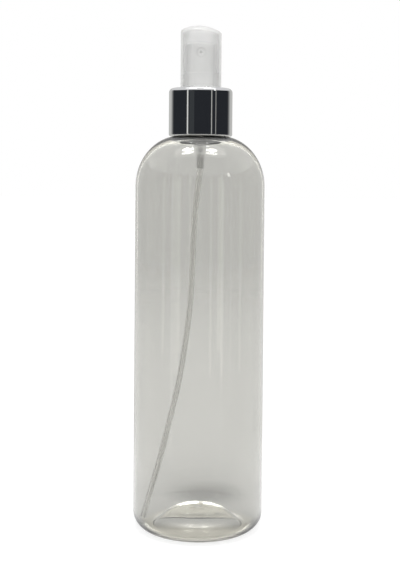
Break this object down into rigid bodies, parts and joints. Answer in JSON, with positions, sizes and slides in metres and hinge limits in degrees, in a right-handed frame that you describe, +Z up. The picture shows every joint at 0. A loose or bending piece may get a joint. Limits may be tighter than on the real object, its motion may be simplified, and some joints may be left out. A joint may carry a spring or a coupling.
{
  "type": "spray bottle",
  "caption": "Clear round-shouldered plastic bottle with a screw-on fine-mist pump, bright metal collar, curved dip tube and translucent push-on cap.",
  "frame": {"origin": "centre of the bottle's standing ring, on its axis, in the plane that it stands on", "axes": "+Z up along the bottle's axis, -Y the way the nozzle faces, -X the side that the dip tube leans to"},
  "size_m": [0.057, 0.057, 0.2212],
  "materials": {
    "clear_pet": "clear, glossy blow-moulded PET",
    "natural_pp": "unpigmented translucent polypropylene",
    "cap_pp": "unpigmented translucent polypropylene, glossy outside",
    "white_pp": "off-white moulded polypropylene",
    "seal_pe": "soft waxy polyethylene",
    "tube_pe": "translucent extruded polyethylene",
    "bright_aluminium": "polished and anodised, mirror bright",
    "spring_steel": "drawn stainless wire",
    "ball_steel": "ground and polished stainless"
  },
  "bodies": {
    "bottle_body": {"bottle": "clear_pet"},
    "pump_unit": {"pump_housing": "natural_pp", "neck_gasket": "seal_pe", "chaplet": "natural_pp", "dip_tube": "tube_pe", "return_spring": "spring_steel"},
    "inlet_valve": {"check_ball": "ball_steel"},
    "plunger": {"stem": "white_pp", "poppet": "white_pp"},
    "piston_seal": {"piston": "seal_pe"},
    "spray_head": {"actuator": "white_pp", "nozzle_insert": "white_pp"},
    "screw_cap": {"closure": "white_pp", "collar_shell": "bright_aluminium"},
    "dust_cap": {"overcap": "cap_pp"}
  },
  "joints": [
    {"name": "closure_unscrew", "type": "hinge", "parent": "pump_unit", "child": "screw_cap", "pos_m": [0, 0, 0.1918], "axis": [0, 0, 1], "range_deg": [0, 540]},
    {"name": "pump_lift", "type": "slide", "parent": "bottle_body", "child": "pump_unit", "axis": [0, 0, 1], "range_m": [0, 0.00476]},
    {"name": "pump_stroke", "type": "slide", "parent": "pump_unit", "child": "plunger", "axis": [0, 0, -1], "range_m": [0, 0.0055], "stiffness_N_per_m": 2500, "deforming": ["return_spring"]},
    {"name": "piston_slip", "type": "slide", "parent": "plunger", "child": "piston_seal", "axis": [0, 0, 1], "range_m": [0, 0.0006]},
    {"name": "actuator_swivel", "type": "hinge", "parent": "plunger", "child": "spray_head", "pos_m": [0, 0, 0.198], "axis": [0, 0, 1], "continuous": true},
    {"name": "ball_lift", "type": "slide", "parent": "pump_unit", "child": "inlet_valve", "axis": [0, 0, 1], "range_m": [0, 0.0008]},
    {"name": "overcap_pull", "type": "slide", "parent": "screw_cap", "child": "dust_cap", "axis": [0, 0, 1], "range_m": [0, 0.03]}
  ],
  "couplings": [
    {"joint": "closure_unscrew", "follows": "pump_lift", "rad_per_m": 1979}
  ]
}
